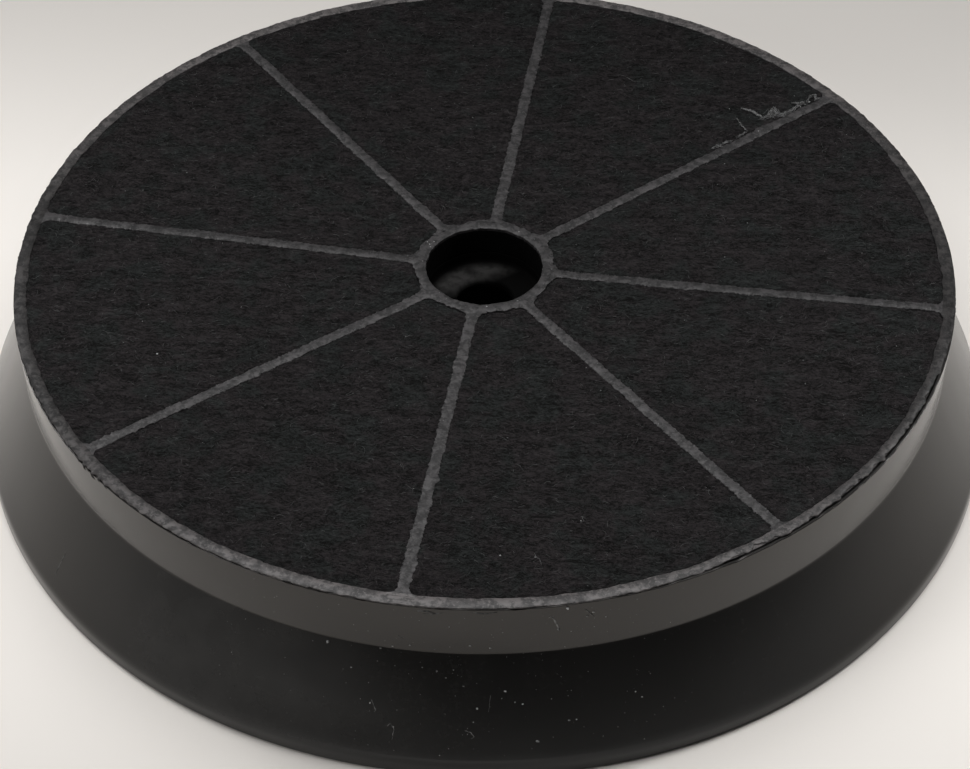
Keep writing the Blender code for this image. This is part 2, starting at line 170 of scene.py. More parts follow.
# Lint on the face: points in millimetres (across, back, height over the felt), strands, spread and width
LINT_STRANDS = (
    (((47.4, 60.4, 0.1), (49.6, 59.4, 0.3), (51.1, 58.2, 0.3), (53.0, 57.4, 0.3)), 4, 0.10, 0.10),
    (((49.0, 59.8, 0.2), (50.2, 59.0, 0.4), (50.6, 58.4, 0.3)), 4, 0.12, 0.10),
    (((52.0, 57.0, 0.1), (53.6, 57.9, 0.5), (54.4, 60.2, 0.7), (55.4, 59.2, 0.4), (57.2, 59.6, 0.3)),
     6, 0.26, 0.08),
    (((53.0, 58.0, 0.2), (54.3, 59.9, 0.7), (55.2, 58.6, 0.4), (53.8, 57.2, 0.2)), 5, 0.36, 0.07),
    (((55.0, 59.0, 0.1), (56.6, 59.0, 0.2), (58.4, 60.8, 0.2)), 4, 0.22, 0.08),
    (((56.6, 59.8, 0.1), (58.8, 60.9, 0.3), (60.2, 62.9, 0.4), (61.4, 63.3, 0.3)), 5, 0.16, 0.09),
    (((58.4, 63.6, 0.2), (59.8, 62.9, 0.4), (61.0, 63.6, 0.5)), 4, 0.14, 0.09),
    (((61.4, 63.4, 0.3), (61.8, 65.4, 0.6), (63.0, 66.2, 0.5), (63.2, 64.9, 0.4), (64.2, 65.8, 0.3)),
     4, 0.16, 0.08),
    (((46.4, 57.0, 0.1), (47.6, 54.8, 0.2), (48.7, 52.8, 0.2), (49.6, 51.9, 0.2)), 2, 0.06, 0.07),
    (((47.2, 49.6, 0.1), (48.4, 50.6, 0.2), (49.6, 52.2, 0.2)), 2, 0.08, 0.07),
    (((44.6, 47.4, 0.1), (45.4, 48.2, 0.2), (46.4, 48.2, 0.2)), 4, 0.14, 0.09),
    (((42.6, 45.4, 0.1), (43.6, 46.2, 0.2), (44.6, 46.2, 0.2)), 3, 0.14, 0.08),
    (((19.4, 68.3, 0), (21.0, 67.8, 0.1), (23.0, 66.4, 0.1), (24.4, 66.6, 0)), 1, 0.0, 0.05),
    (((29.0, -71.0, 0), (30.2, -70.4, 0.1), (29.6, -69.2, 0.1), (30.6, -69.4, 0)), 1, 0.0, 0.07),
    (((22.2, -79.8, 0), (22.8, -81.0, 0.1), (23.4, -81.2, 0.1), (24.0, -82.6, 0)), 1, 0.0, 0.07),
)
# Dust on the skirt and the wall: turn in degrees, height in millimetres and size in hundredths of one
SKIRT_DUST = (
    (-72.7, 29.9, 36), (-73.1, 32.0, 24), (-73.4, 33.2, 24), (-71.8, 35.6, 42), (-68.9, 33.4, 34),
    (-69.6, 32.6, 20), (-67.5, 31.5, 22), (-84.6, 31.5, 20), (-82.4, 26.2, 24), (-89.0, 25.3, 26),
    (-80.2, 25.6, 24), (-83.1, 18.0, 22), (-78.6, 17.1, 34), (-79.0, 15.8, 18), (-75.4, 7.6, 44),
    (-98.3, 23.0, 46), (-92.3, 23.6, 24), (-91.0, 24.4, 22), (-86.0, 20.5, 26), (-85.0, 19.4, 20),
    (-82.0, 11.5, 20), (-81.6, 14.0, 26), (-77.6, 15.0, 20), (-76.8, 14.6, 22), (-95.4, 19.2, 20),
    (-93.0, 13.4, 26), (-92.4, 12.4, 22), (-90.4, 9.6, 28), (-72.0, 10.9, 24), (-71.2, 10.9, 22),
    (-90.6, 20.8, 18), (-87.6, 21.0, 18), (-84.2, 20.9, 16), (-64.6, 14.0, 22), (-64.0, 12.8, 20),
)
# Dust on the face: across and back in millimetres, and size in hundredths of one
FACE_DUST = (
    (-59.8, -37.4, 34), (16.1, -81.3, 38), (29.6, -70.2, 26), (22.5, -80.8, 24), (44.9, 59.6, 20),
    (62.0, 64.4, 34), (63.2, 66.2, 30), (51.9, 52.4, 30), (53.2, 53.0, 26), (49.8, 59.4, 34),
    (50.4, 58.9, 30), (54.2, 60.3, 34), (54.6, 58.2, 30), (56.6, 59.4, 24), (59.4, 63.2, 28),
    (60.2, 62.4, 26), (61.1, 63.4, 30), (48.9, 52.6, 26), (45.6, 48.0, 28), (43.7, 46.0, 26),
    (47.8, 50.0, 22), (52.2, 57.8, 26), (53.4, 57.7, 24), (-10.7, 10.1, 34), (8.4, -9.9, 36),
    (12.8, -3.9, 24), (13.9, 1.0, 24), (-12.3, 4.9, 30), (-12.0, 4.1, 26), (-11.6, 5.8, 28),
    (-12.9, 5.6, 24), (-11.9, 5.1, 20), (-7.7, -9.9, 24), (-6.0, -11.4, 28), (2.5, -12.5, 22),
    (-12.8, -0.6, 20), (5.4, 11.8, 22), (8.9, 9.9, 22),
)
# Lines on the outside: points (turn in degrees, height in millimetres), width in millimetres, strands
PALE_MARKS = (
    (((-73.6, 33.8), (-73.3, 32.8), (-73.0, 31.4), (-72.8, 30.4), (-72.7, 29.6)), 0.17, 2),
    (((-73.9, 33.4), (-73.6, 33.8), (-73.3, 33.6)), 0.10, 1),
    (((-92.9, 14.0), (-92.6, 13.2), (-92.3, 12.2), (-92.5, 11.9)), 0.12, 1),
    (((-90.7, 10.2), (-90.3, 9.4), (-90.4, 7.2)), 0.10, 1), (((-91.0, 9.6), (-90.7, 10.2)), 0.12, 1),
    (((-82.9, 9.9), (-82.3, 9.6), (-81.9, 8.8), (-82.2, 8.4)), 0.14, 1),
    (((-80.2, 16.4), (-80.3, 15.0), (-80.4, 13.4)), 0.06, 1),
    (((-135.7, 6.8), (-135.4, 9.6), (-135.1, 12.4)), 0.09, 1),
)
FAINT_MARKS = (
    (((-88.0, 35.4), (-86.9, 35.6), (-86.2, 35.2)), 0.22, 3),
    (((-87.4, 34.8), (-86.0, 35.0), (-85.2, 35.4)), 0.16, 2),
    (((-81.9, 35.8), (-80.8, 35.4), (-79.4, 35.8)), 0.18, 2),
    (((-90.4, 28.0), (-90.0, 27.2), (-89.6, 27.4)), 0.14, 1),
    (((-69.8, 34.6), (-69.2, 33.2), (-68.8, 32.2)), 0.14, 2),
)
DARK_BURRS = (
    (((-134.4, 36.3), (-134.2, 35.8)), 0.18, 2),
    (((-133.2, 36.3), (-133.1, 35.6), (-132.9, 35.4)), 0.20, 3),
    (((-132.2, 36.3), (-132.0, 35.9)), 0.18, 2),
    (((-131.4, 36.3), (-131.2, 35.5), (-130.9, 35.3)), 0.20, 3),
    (((-130.2, 36.3), (-130.0, 35.8)), 0.16, 2),
    (((-129.0, 36.3), (-128.8, 35.9), (-128.5, 35.8)), 0.16, 2),
    (((-140.6, 36.3), (-140.3, 36.0)), 0.14, 2), (((-106.0, 36.3), (-105.6, 36.1)), 0.14, 1),
    (((-99.2, 36.3), (-98.9, 36.1)), 0.14, 1),
)
# How crooked the lint is in the tuft and where it is one loose fibre
TUFT_SWAY = 0.0001
LOOSE_SWAY = 0.0001 / 3
SKIRT_DUST_COUNT = 260
FACE_DUST_COUNT = 170
# Sizes of the scattered specks
FINE_DUST = (0.00006, 0.00014)

# Fibres on the felt, and the waves of the felt as (wavelength, height) in millimetres
FIBRE_COUNT = 4200
FIBRE_LENGTHS = (0.0008, 0.0024)
FIBRE_WIDTH = 0.00006
FIBRE_LIFT = (0.0, 0.00010)
FACE_WAVES = ((18, 0.09), (6, 0.06), (2.2, 0.05), (0.9, 0.03))
MAT_WAVES = ((6, 0.06), (1.8, 0.04))
FIELD_PITCH = 0.0003
FIELD_HALF = 0.096
FELT_OVERLAP = 0.00022
FELT_TOP = COVER_TOP - 0.00014
FELT_BASE = SEAT_HEIGHT - 0.0016
FELT_LOW = COVER_TOP - 0.00024

# Waves of the turned shell and of its ragged lip, as (knots all round, height in millimetres)
SHELL_SEGMENTS = 720
SHELL_WAVES = ((9, 0.05), (37, 0.02))
LIP_WAVES = ((60, 0.05), (200, 0.05), (700, 0.05))
# Ragged edges of the cover in the same way, for the sides of a spoke and for the rings
SPOKE_WAVES = ((24, 0.06), (75, 0.06), (180, 0.07), (500, 0.10))
RIM_INNER_WAVES = ((90, 0.06), (350, 0.06), (900, 0.05))
RIM_OUTER_WAVES = ((60, 0.03), (500, 0.05), (1100, 0.04))
BARE_WAVES = ((150, 0.14), (500, 0.18), (800, 0.20))
LUMP_WAVES = ((26, 0.05), (90, 0.03))
HUB_INNER_WAVES = ((12, 0.02), (60, 0.04), (160, 0.04))
HUB_OUTER_WAVES = ((14, 0.12), (50, 0.14), (150, 0.12))

# Turn that brings the front of the filter to -Y, and turn of the felt's grain
FRONT_TURN = -0.16
FELT_GRAIN = -0.16

# Lamps: name, place, target, sides, power and spread in degrees
LAMPS = (
    ("overhead", (-0.02, 0.0, 0.36), (-0.02, 0, 0), (0.30, 0.30), 0.82, 180),
    ("front_left", (-0.52, -0.46, 0.40), (-0.22, -0.26, 0), (0.25, 0.25), 0.90, 180),
    ("left", (-0.34, 0.12, 0.30), (-0.122, -0.040, 0), (0.12, 0.12), 0.080, 50),
    ("right", (0.34, 0.18, 0.30), (0.122, -0.035, 0), (0.12, 0.12), 0.115, 50),
    ("behind", (0, 0.62, 0.45), (0, 0.62, 0), (0.90, 0.30), 1.3, 95),
)
FLOOR_RADIUS = 1.0
FLOOR_SIDES = 128
FLOOR_SHIFT = 0.5
BACKDROP = 0.60
ROOM_TURN = math.radians(-35)

SKIRT_SLOPE = (FOOT_RADIUS - CREASE_RADIUS) / (CREASE_HEIGHT - FOOT_LIP_HEIGHT)
SKIRT_WALL_ACROSS = SKIRT_WALL * math.hypot(1, SKIRT_SLOPE)
SECTOR = math.tau / SPOKE_COUNT


def cover_sink(radius):
    """How far the cover lies below its rim at a radius: it slopes down to the hub."""
    share = (SINK_START - radius) / (SINK_START - HUB_RING_MIDDLE)
    return COVER_SINK * np.clip(share, 0, 1)


def add_object(name, data):
    made = bpy.data.objects.new(name, data)
    bpy.context.scene.collection.objects.link(made)
    return made


def mesh_piece(name, points, faces, material, sharp=None):
    """One mesh object with its faces pointing out and its shading smooth up to an angle."""
    mesh = bpy.data.meshes.new(name)
    mesh.from_pydata([tuple(p) for p in points], [], faces)
    build = bmesh.new()
    build.from_mesh(mesh)
    bmesh.ops.recalc_face_normals(build, faces=build.faces)
    build.to_mesh(mesh)
    build.free()
    mesh.materials.append(material)
    smooth(mesh, sharp)
    return add_object(name, mesh)


def smooth(mesh, sharp):
    mesh.shade_smooth()
    if sharp:
        mesh.set_sharp_from_angle(angle=math.radians(sharp))


def combine(piece, tool, operation="UNION"):
    """Applies a Boolean of a closed tool to a closed piece and removes the tool."""
    change = piece.modifiers.new("combine", "BOOLEAN")
    change.operation = operation
    change.solver = "MANIFOLD"
    change.object = tool
    graph = bpy.context.evaluated_depsgraph_get()
    made = bpy.data.meshes.new_from_object(piece.evaluated_get(graph))
    piece.modifiers.clear()
    piece.data = made
    bpy.data.objects.remove(tool)


def skin(rings, closed_run):
    """Points and faces of a tube through rings of equal length, joined end to end or capped."""
    points = np.asarray(rings)
    here = np.arange(points[..., 0].size).reshape(points.shape[:2])
    there = np.roll(here, -1, 0)
    quads = np.stack([here, np.roll(here, -1, 1), np.roll(there, -1, 1), there], 2)
    if closed_run:
        return points.reshape(-1, 3), quads.reshape(-1, 4).tolist()
    caps = [here[0, ::-1].tolist(), here[-1].tolist()]
    return points.reshape(-1, 3), quads[:-1].reshape(-1, 4).tolist() + caps


def joined(parts):
    """Points and faces of several closed bodies in one list each."""
    points, faces = [], []
    for more, quads in parts:
        faces += [tuple(i + len(points) for i in face) for face in quads]
        points += [tuple(p) for p in more]
    return points, faces


def facing(turn):
    return Vector((math.cos(turn), math.sin(turn)))


def turn_between(first, last):
    return math.atan2(first.x * last.y - first.y * last.x, first.dot(last))


def about_axis(turn, radius, height):
    return np.stack([radius * np.cos(turn), radius * np.sin(turn), height], -1)


def degrees_from(turn, place):
    """How many degrees lie between turns and a place given in degrees."""
    return np.abs((np.degrees(turn) - place + 180) % 360 - 180)


def rounded(corners, steps=6):
    """Closed outline through corners (across, up, radius), with an arc at each corner that has a radius."""
    outline = []
    for i, (across, up, radius) in enumerate(corners):
        corner = Vector((across, up))
        if radius == 0:
            outline.append(corner)
            continue
        back = Vector(corners[i - 1][:2]) - corner
        on = Vector(corners[(i + 1) % len(corners)][:2]) - corner
        half = back.angle(on) / 2
        reach = min(radius / math.tan(half), back.length * 0.45, on.length * 0.45)
        back.normalize()
        on.normalize()
        centre = corner + (back + on).normalized() * reach / math.cos(half)
        first = corner + back * reach - centre
        last = corner + on * reach - centre
        turn = turn_between(first, last)
        for step in range(steps + 1):
            outline.append(centre + Matrix.Rotation(turn * step / steps, 2) @ first)
    return np.array([tuple(p) for p in outline])


def turned_piece(name, section, segments, material, wobble=None, sharp=None):
    """Closed section (radius, height) turned about the axis as one object, its points moved by a wobble."""
    turn = np.arange(segments)[:, None] * math.tau / segments
    radius, height = (np.tile(part, (segments, 1)) for part in section.T)
    if wobble:
        radius, height = wobble(turn, radius, height)
    return mesh_piece(name, *skin(about_axis(turn, radius, height), True), material, sharp)


def wander(count, waves, seed, closed=True):
    """Random wobble of a line at count stations: smooth random values for each (knots, height in mm)."""
    rng = np.random.default_rng(seed)
    at = np.arange(count) / count
    total = np.zeros(count)
    for knots, height in waves:
        values = rng.normal(0, height / 1000, knots)
        place = at * knots
        low = np.floor(place).astype(int)
        ease = place - low
        ease = ease * ease * (3 - 2 * ease)
        high = (low + 1) % knots if closed else np.minimum(low + 1, knots - 1)
        total += values[low] * (1 - ease) + values[high] * ease
    return total


# Materials


class Nodes:
    """Short way to add and join shader nodes of one new material or world."""

    def __init__(self, name, store=bpy.data.materials):
        self.owner = store.new(name)
        self.owner.use_nodes = True
        self.tree = self.owner.node_tree
        self.shader = self.tree.nodes.get("Principled BSDF")

    def add(self, kind, inputs=None, **settings):
        node = self.tree.nodes.new("ShaderNode" + kind)
        for key, value in settings.items():
            setattr(node, key, value)
        self.fill(node, inputs or {})
        return node

    def fill(self, node, inputs):
        """Links a node's inputs to other sockets, or sets them where they are given as plain values."""
        for key, value in inputs.items():
            if isinstance(value, bpy.types.NodeSocket):
                self.tree.links.new(value, node.inputs[key])
            else:
                node.inputs[key].default_value = value

    def math(self, operation, first, second=0.0, third=0.0):
        return self.add("Math", {0: first, 1: second, 2: third}, operation=operation).outputs[0]

    def times(self, first, second):
        return self.math("MULTIPLY", first, second)

    def vector(self, operation, first, second=(0, 0, 0)):
        """Result of a vector operation: a number for a length, a distance or a dot product."""
        node = self.add("VectorMath", {0: first, 1: second}, operation=operation)
        return node.outputs["Vector" if operation == "MULTIPLY" else "Value"]

    def level(self, axis, turn=0.0):
        """One object coordinate, read after a turn about the axis."""
        return self.add("SeparateXYZ", {0: self.place(turn)}).outputs[axis]

    def place(self, turn=0.0, scale=(1, 1, 1)):
        """Object coordinates, turned about the axis and then stretched."""
        where = self.add("TexCoord").outputs["Object"]
        turned = self.add("VectorRotate", {"Vector": where, "Angle": turn}, rotation_type="Z_AXIS")
        return self.add("Mapping", {"Vector": turned.outputs[0], "Scale": scale}).outputs[0]

    def noise(self, scale, detail=2.0, where=None, roughness=0.5, distortion=0.0):
        inputs = {"Scale": scale, "Detail": detail, "Roughness": roughness, "Distortion": distortion}
        return self.add("TexNoise", {"Vector": where or self.place(), **inputs}).outputs["Fac"]

    def remap(self, value, low, high, new_low=0.0, new_high=1.0):
        inputs = {"Value": value, "From Min": low, "From Max": high, "To Min": new_low, "To Max": new_high}
        return self.add("MapRange", inputs).outputs[0]

    def mix(self, share, first, second):
        """Colour between two others. A mix node keeps its colours on inputs 6 and 7 and its output 2."""
        return self.add("Mix", {0: share, 6: first, 7: second}, data_type="RGBA").outputs[2]

    def bump(self, height, distance, strength):
        return self.add("Bump", {"Height": height, "Distance": distance, "Strength": strength}).outputs[0]

    def finish(self, color, roughness, normal=None, **further):
        """Joins or sets colour, roughness, normal and any further sockets of the shader."""
        named = {"Base Color": color, "Roughness": roughness}
        if normal:
            named["Normal"] = normal
        named.update({key.replace("_", " "): value for key, value in further.items()})
        self.fill(self.shader, named)
        return self.owner


def grey(value, warm=0.0):
    """A grey, a little warmer in the red and cooler in the blue."""
    return (value * (1 + warm), value, value * (1 - warm), 1)


def housing_plastic():
    """Warm black moulded plastic with a satin skin, faint flow marks and a film of dust, with painted sheen
    that varies over it and painted shade in the hub's hole.
    """
    n = Nodes("housing_plastic")
    flow = n.noise(60, 3, n.place(scale=(1, 1, 0.35)))
    grain = n.noise(2500, 2)
    dust = n.noise(900, 4, roughness=0.7)
    cloud = n.noise(35, 3)
    film = n.times(n.remap(dust, 0.52, 0.75), n.remap(cloud, 0.35, 0.7, 0.1, 0.5))
    # Painted sheen, partly dust: a pale haze lightens the skirt low on its front left
    haze_and_sheen = n.remap(n.vector("DISTANCE", n.place(), HAZE_AND_SHEEN_CENTRE), 0.048, 0.014)
    haze_and_sheen = n.times(haze_and_sheen, n.remap(n.noise(160, 3), 0.25, 0.65, 0.15, 0.65))
    color = n.mix(n.math("ADD", film, haze_and_sheen), grey(0.0045, 0.06), grey(0.020, 0.05))
    roughness = n.remap(flow, 0.3, 0.7, 0.16, 0.22)
    relief = n.math("MULTIPLY_ADD", grain, 0.35, flow)
    height = n.level("Z")
    aside = n.level("X", FRONT_TURN)
    middle = n.math("ABSOLUTE", aside)
    # Painted sheen: the skirt reflects less than the wall, less still towards the right, and more along its
    # foot and in a patch left of the middle
    skirt = n.remap(height, CREASE_HEIGHT, CREASE_HEIGHT - 0.0006)
    painted_sheen = n.remap(height, CREASE_HEIGHT - 0.0006, CREASE_HEIGHT, 0.30, 0.50)
    painted_sheen = n.math("SUBTRACT", painted_sheen, n.times(n.remap(aside, 0.005, 0.035, 0.0, 0.065), skirt))
    foot = n.times(n.remap(height, 0.0055, 0.0025), n.remap(middle, 0.062, 0.036, 0.07, 0.22))
    patch = n.remap(n.math("ABSOLUTE", n.math("ADD", aside, 0.032)), 0.026, 0.006, 0.0, 0.17)
    patch = n.times(n.times(patch, n.remap(height, 0.007, 0.013)), skirt)
    painted_sheen = n.math("ADD", n.math("ADD", painted_sheen, foot), patch)
    # Painted reflection colour: the sheen is warm, but cooler on the skirt away from its sides
    cool_reflection = n.times(n.remap(middle, 0.086, 0.062), skirt)
    tint = n.mix(cool_reflection, (1.0, 0.96, 0.925, 1), (0.945, 0.965, 0.985, 1))
    # Painted shade: the hub's hole is painted black and dull. Painted highlight: a pale mottled patch on one
    # side of its ledge, where light falls
    radius = n.vector("LENGTH", n.place(scale=(1, 1, 0)))
    shaded_bore = n.times(n.math("LESS_THAN", radius, HUB_BORE + 0.0002), n.math("GREATER_THAN", height, BORE_SHADE_LOW))
    lit_ledge = n.remap(n.vector("DOT_PRODUCT", n.place(), LIT_LEDGE_SIDE), 0.0034, 0.0074)
    lit_ledge = n.times(lit_ledge, n.remap(radius, 0.0117, 0.0098))
    lit_ledge = n.times(lit_ledge, n.remap(n.noise(420, 3, roughness=0.6), 0.30, 0.58, 0.25, 1.0))
    lit_ledge = n.times(lit_ledge, n.remap(height, LEDGE_TOP + 0.0010, LEDGE_TOP))
    color = n.mix(shaded_bore, color, n.mix(lit_ledge, grey(0.0022), grey(0.038, 0.02)))
    roughness = n.math("MAXIMUM", roughness, n.times(shaded_bore, 0.7))
    painted_sheen = n.times(painted_sheen, n.remap(shaded_bore, 0, 1, 1, 0.03))
    normal = n.bump(relief, 0.00003, 0.25)
    return n.finish(color, roughness, normal, Specular_IOR_Level=painted_sheen, Specular_Tint=tint)


def cover_plastic():
    """Matt black plastic of the cover, mottled where it ran into the felt, with painted sheen on its rim
    ring and painted shade on its spokes, rim ring and bore.
    """
    n = Nodes("cover_plastic")
    mottle = n.noise(700, 3, roughness=0.6)
    patch = n.noise(280, 2)
    share = n.times(n.remap(mottle, 0.41, 0.59), n.remap(patch, 0.36, 0.64, 0.35, 1.30))
    share = n.math("ADD", share, n.remap(n.noise(2100, 1), 0.58, 0.68, 0.0, 0.8))
    color = n.mix(share, (0.0056, 0.0049, 0.0052, 1), (0.0290, 0.0259, 0.0270, 1))
    # Painted shade: the two spokes that point along X, at the sides, are darker and duller than the others
    side_shade = n.remap(n.math("ABSOLUTE", n.level("Y")), 0.001, 0.016, 0.82, 1.0)
    color = n.vector("MULTIPLY", color, side_shade)
    gloss = n.times(n.remap(share, 0.0, 1.0, 0.43, 0.61), side_shade)
    # Painted sheen and shade: the rim ring is lighter and glossier at its front and back than at its sides,
    # and its outer edge is duller at both sides
    radius = n.vector("LENGTH", n.place(scale=(1, 1, 0)))
    back = n.level("Y", FRONT_TURN)
    on_ring = n.math("GREATER_THAN", radius, RIM_RING_RADIUS)
    painted_ring_light = n.math("ADD", n.remap(back, -0.045, -0.092, 0.68, 2.5), n.remap(back, 0.015, 0.085, 0.0, 2.3))
    beside = n.remap(n.math("ABSOLUTE", back), 0.086, 0.066)
    edge = n.times(n.remap(radius, 0.0948, 0.0957, 0.0, 0.48), beside)
    ring_gloss = n.times(n.times(n.remap(painted_ring_light, 0.68, 2.5, 0.70, 1.45), gloss), n.math("SUBTRACT", 1.0, edge))
    gloss = n.math("ADD", gloss, n.times(on_ring, n.math("SUBTRACT", ring_gloss, gloss)))
    painted_ring_light = n.vector("MULTIPLY", color, n.vector("MULTIPLY", painted_ring_light, (1.03, 1.0, 0.94)))
    color = n.mix(on_ring, color, painted_ring_light)
    relief = n.math("MULTIPLY_ADD", n.noise(2200, 3, roughness=0.7), 0.5, mottle)
    # Painted shade: the plastic low in the hub's hole, from a little under the hub ring's top down, is
    # painted dark and dull
    shaded_bore = n.math("LESS_THAN", n.level("Z"), HUB_RING_TOP - 0.0007)
    color = n.mix(shaded_bore, color, grey(0.0030))
    gloss = n.times(gloss, n.math("MULTIPLY_ADD", shaded_bore, -0.92, 1.0))
    roughness = n.remap(mottle, 0.3, 0.7, 0.62, 0.45)
    return n.finish(color, roughness, n.bump(relief, 0.00016, 0.8), Specular_IOR_Level=gloss)


def felt_fibre():
    """Black needle felt: crisp short dashes, light and dark, over brownish and bluish patches."""
    n = Nodes("felt")
    light = dark = 0.0
    # Turn, scale, stretch and limit of each layer of dashes
    layers = (
        (FELT_GRAIN, 2100, 0.36, 0.09), (0.25, 2300, 0.40, 0.09), (-0.60, 2400, 0.40, 0.10),
        (0.90, 2600, 0.50, 0.11), (-1.30, 2600, 0.50, 0.12), (FELT_GRAIN, 1150, 0.26, 0.12),
        (0.30, 1350, 0.30, 0.13), (-0.80, 1500, 0.40, 0.15),
    )
    for turn, scale, stretch, limit in layers:
        strand = n.noise(scale, 1, n.place(turn, (stretch, 1, 1)), distortion=1.0)
        light = n.math("MAXIMUM", light, n.remap(strand, 0.5 + limit, 0.56 + limit))
        dark = n.math("MAXIMUM", dark, n.remap(strand, 0.5 - limit, 0.44 - limit))
    tone = n.math("SUBTRACT", light, dark)
    mottle = n.noise(420, 3, n.place(FELT_GRAIN, (0.45, 1, 1)), roughness=0.7)
    tone = n.math("ADD", tone, n.remap(mottle, 0.3, 0.7, -0.7, 0.7))
    light = n.remap(tone, -1.3, 1.4)
    brown = n.remap(n.noise(130, 3, roughness=0.6), 0.40, 0.52)
    tint = n.mix(brown, (0.0212, 0.0233, 0.0227, 1), (0.0250, 0.0219, 0.0227, 1))
    color = n.mix(light, (0.0016, 0.0014, 0.0014, 1), tint)
    return n.finish(color, 0.95, n.bump(light, 0.00030, 0.8), Specular_IOR_Level=0.12)


def loose_fibre(name, value, warm=0.0):
    """Loose fibre or dust, lighter along some of its length."""
    n = Nodes(name)
    shade = n.remap(n.noise(1400, 2), 0.38, 0.62)
    return n.finish(n.mix(shade, grey(value * 0.35, warm), grey(value * 1.4, warm)), 0.8)


def charcoal():
    """Matt black granules."""
    n = Nodes("charcoal")
    cells = n.add("TexVoronoi", {"Vector": n.place(), "Scale": 450.0})
    color = n.mix(n.remap(cells.outputs["Distance"], 0.0, 0.8), grey(0.020), grey(0.006))
    return n.finish(color, 0.75, n.bump(cells.outputs["Distance"], 0.0008, 1.0))


def floor_material():
    """Pale floor, with a painted dark shadow under the hub."""
    n = Nodes("pale_floor")
    color = n.mix(n.noise(6, 2), (0.860, 0.820, 0.775, 1), (0.880, 0.840, 0.795, 1))
    hub_shadow_distance = n.vector("DISTANCE", n.place(), (0, -FLOOR_SHIFT, 0))
    # Painted shadow: the floor is dark under the hub, where no light falls through
    color = n.mix(n.remap(hub_shadow_distance, 0.030, 0.020), color, grey(0.02))
    return n.finish(color, 0.9, Specular_IOR_Level=0.1)


# Housing


def chamber_radius(height):
    return CHAMBER_RADIUS - DRAFT_SLOPE * (SEAT_HEIGHT - height)


def chamber_outside(height):
    return chamber_radius(height) + CHAMBER_WALL


def skirt_inside(height):
    return CREASE_RADIUS + SKIRT_SLOPE * (CREASE_HEIGHT - height) - SKIRT_WALL_ACROSS


def gap_top():
    """Height at which the V gap between the chamber wall and the skirt closes."""
    return (skirt_inside(0) - chamber_outside(0)) / (SKIRT_SLOPE + DRAFT_SLOPE)


def shell_section():
    """Section of the housing outside the hub, with its small roundings."""
    root = gap_top()
    foot_inside = FOOT_RADIUS - SKIRT_WALL
    knee = (skirt_inside(0) - foot_inside) / SKIRT_SLOPE
    rim_inside = chamber_radius(RIM_FOOT)
    return rounded([
        (SEAT_RADIUS, LIP_TOP, 0.0001), (FACE_RADIUS, LIP_TOP, 0.00015),
        (CREASE_RADIUS, CREASE_HEIGHT, 0.0008), (FOOT_RADIUS, FOOT_LIP_HEIGHT, 0.0045),
        (FOOT_RADIUS, 0, 0.0006), (foot_inside, 0, 0.0006), (foot_inside, knee, 0.002),
        (chamber_outside(root), root, 0.0006), (chamber_outside(RIM_FOOT), RIM_FOOT, 0.0003),
        (rim_inside, RIM_FOOT, 0.0003), (rim_inside, FLOOR_RAISE, 0.0003),
        (HUB_WALL_MIDDLE, FLOOR_RAISE, 0), (HUB_WALL_MIDDLE, FLOOR_TOP, 0),
        (chamber_radius(FLOOR_TOP), FLOOR_TOP, 0), (CHAMBER_RADIUS, SEAT_HEIGHT, 0),
        (SEAT_RADIUS, SEAT_HEIGHT, 0),
    ])


def hub_section():
    return rounded([
        (HUB_RADIUS, HUB_SEAT_HEIGHT, 0.0001), (HUB_RADIUS, HUB_MOUTH, 0.0005),
        (SOCKET_RADIUS, HUB_MOUTH, 0.0005), (SOCKET_RADIUS, LEDGE_UNDERSIDE, 0.0003),
        (LEDGE_HOLE, LEDGE_UNDERSIDE, 0.0004), (LEDGE_HOLE, LEDGE_TOP, 0.0009),
        (HUB_BORE, LEDGE_TOP, 0.0008), (HUB_BORE, COLLAR_FOOT - SEAT_GAP, 0.0002),
        (COLLAR_SEAT_RADIUS, COLLAR_FOOT - SEAT_GAP, 0.0001),
        (COLLAR_SEAT_RADIUS, HUB_SEAT_HEIGHT, 0.0001),
    ], 5)


def window_outline(inner, outer, sector, grow):
    """Gap between two bars of the lattice, with round corners, grown a little all round."""
    ends = inner + LATTICE_CORNER, outer - LATTICE_CORNER
    near, far = (math.asin((LATTICE_BAR / 2 + LATTICE_CORNER) / distance) for distance in ends)
    side = []
    for distance, lean, first, last in (
        (ends[0], near, math.pi + near, 1.5 * math.pi),
        (ends[1], far, -0.5 * math.pi, far),
    ):
        turns = [first + (last - first) * step / CORNER_STEPS for step in range(CORNER_STEPS + 1)]
        side += [facing(lean) * distance + facing(turn) * (LATTICE_CORNER + grow) for turn in turns]
    mirrored = [Matrix.Rotation(sector, 2) @ Vector((p.x, -p.y)) for p in reversed(side)]
    outline = list(side)
    for first, last, tail in ((side[-1], mirrored[0], mirrored), (mirrored[-1], side[0], [])):
        turn = turn_between(first, last)
        outline += [Matrix.Rotation(turn * step / ARC_STEPS, 2) @ first for step in range(1, ARC_STEPS)]
        outline += tail
    return outline


def placed(outline, height, angle):
    return [(*(Matrix.Rotation(angle, 2) @ point), height) for point in outline]


def blocks(name, stacks, material):
    """Closed bodies in one object, each skinned through its own stack of outlines."""
    return mesh_piece(name, *joined(skin(stack, False) for stack in stacks), material)


